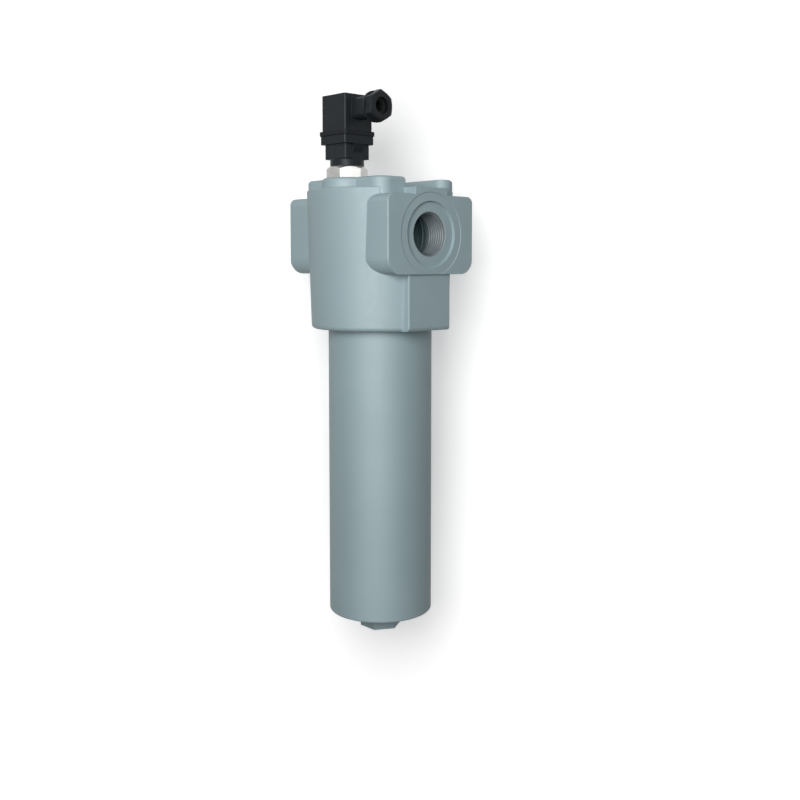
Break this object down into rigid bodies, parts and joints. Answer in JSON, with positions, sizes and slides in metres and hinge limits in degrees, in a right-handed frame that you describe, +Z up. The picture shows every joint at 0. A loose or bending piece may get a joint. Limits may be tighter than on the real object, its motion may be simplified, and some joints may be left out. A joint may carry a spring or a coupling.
{
  "type": "high pressure filter",
  "caption": "In-line high pressure hydraulic filter: ported cast head, screwed bowl with hexagon, pleated element, bypass valve and electrical clogging indicator with cable plug.",
  "frame": {"origin": "centre of the rectangle of tapped holes, on the head's flat top face", "axes": "+Z up along the bowl's axis, +X out of the inlet port, -Y towards the indicator"},
  "size_m": [0.114, 0.1124, 0.4123],
  "materials": {
    "head_paint": "satin",
    "bowl_paint": "satin",
    "rubber": "matte",
    "white_plastic": "matte",
    "zinc_steel": "satin",
    "filter_media": "matte",
    "turned_steel": "satin",
    "spring_steel": "satin",
    "nickel": "bright",
    "magnet": "matte",
    "switch_glass": "gloss",
    "black_plastic": "matte",
    "nut_plastic": "matte",
    "grey_plastic": "matte",
    "contact_brass": "satin",
    "gasket_rubber": "matte"
  },
  "bodies": {
    "head": {"filter_head": "head_paint", "element_top_cap": "zinc_steel", "element_o_ring": "rubber", "element_support_tube": "zinc_steel", "pleated_media": "filter_media", "element_bottom_cap": "zinc_steel", "bypass_seat": "turned_steel", "bypass_retainer": "turned_steel", "bypass_spring": "spring_steel", "indicator_body": "nickel", "indicator_seal": "rubber", "piston_spring": "spring_steel", "piston_stop": "turned_steel", "reed_switch": "switch_glass", "switch_housing": "black_plastic", "contact_pins": "contact_brass"},
    "bowl_seals": {"bowl_o_ring": "rubber", "bowl_backup_ring": "white_plastic"},
    "bowl": {"filter_bowl": "bowl_paint"},
    "bypass_valve": {"bypass_poppet": "turned_steel"},
    "indicator_slide": {"indicator_piston": "turned_steel", "piston_magnet": "magnet"},
    "plug": {"plug_housing": "black_plastic", "terminal_insert": "grey_plastic", "terminal_screws": "turned_steel", "connector_gasket": "gasket_rubber", "gland_seal": "rubber"},
    "screw_seal": {"fixing_screw_seal": "rubber"},
    "screw": {"fixing_screw": "turned_steel"},
    "gland_ring": {"gland_washer": "turned_steel"},
    "nut": {"gland_nut": "nut_plastic"}
  },
  "joints": [
    {"name": "bowl_lower", "type": "slide", "parent": "head", "child": "bowl_seals", "axis": [0, 0, -1], "range_m": [0, 0.0221]},
    {"name": "bowl_turn", "type": "hinge", "parent": "bowl_seals", "child": "bowl", "pos_m": [0, 0, -0.1], "axis": [0, 0, -1], "range_deg": [0, 3960]},
    {"name": "bypass_open", "type": "slide", "parent": "head", "child": "bypass_valve", "axis": [-1, 0, 0], "range_m": [0, 0.004], "stiffness_N_per_m": 1000, "springref_m": -0.002, "deforming": ["bypass_spring"]},
    {"name": "indicator_rise", "type": "slide", "parent": "head", "child": "indicator_slide", "axis": [0, 0, 1], "range_m": [0, 0.0018], "stiffness_N_per_m": 300, "springref_m": -0.001, "deforming": ["piston_spring"]},
    {"name": "plug_lift", "type": "slide", "parent": "head", "child": "plug", "axis": [0, 0, 1], "range_m": [0, 0.015]},
    {"name": "screw_rise", "type": "slide", "parent": "plug", "child": "screw_seal", "axis": [0, 0, 1], "range_m": [0, 0.006]},
    {"name": "screw_turn", "type": "hinge", "parent": "screw_seal", "child": "screw", "pos_m": [0, -0.033, 0.0606], "axis": [0, 0, 1], "range_deg": [0, 4392]},
    {"name": "nut_back_off", "type": "slide", "parent": "plug", "child": "gland_ring", "axis": [1, 0, 0], "range_m": [0, 0.003]},
    {"name": "nut_turn", "type": "hinge", "parent": "gland_ring", "child": "nut", "pos_m": [0.036, -0.033, 0.0499], "axis": [1, 0, 0], "range_deg": [0, 744]}
  ],
  "couplings": [
    {"joint": "bowl_lower", "follows": "bowl_turn", "m_per_rad": 0.00031831},
    {"joint": "screw_turn", "follows": "screw_rise", "rad_per_m": 12566},
    {"joint": "nut_turn", "follows": "nut_back_off", "rad_per_m": 4188.8}
  ]
}
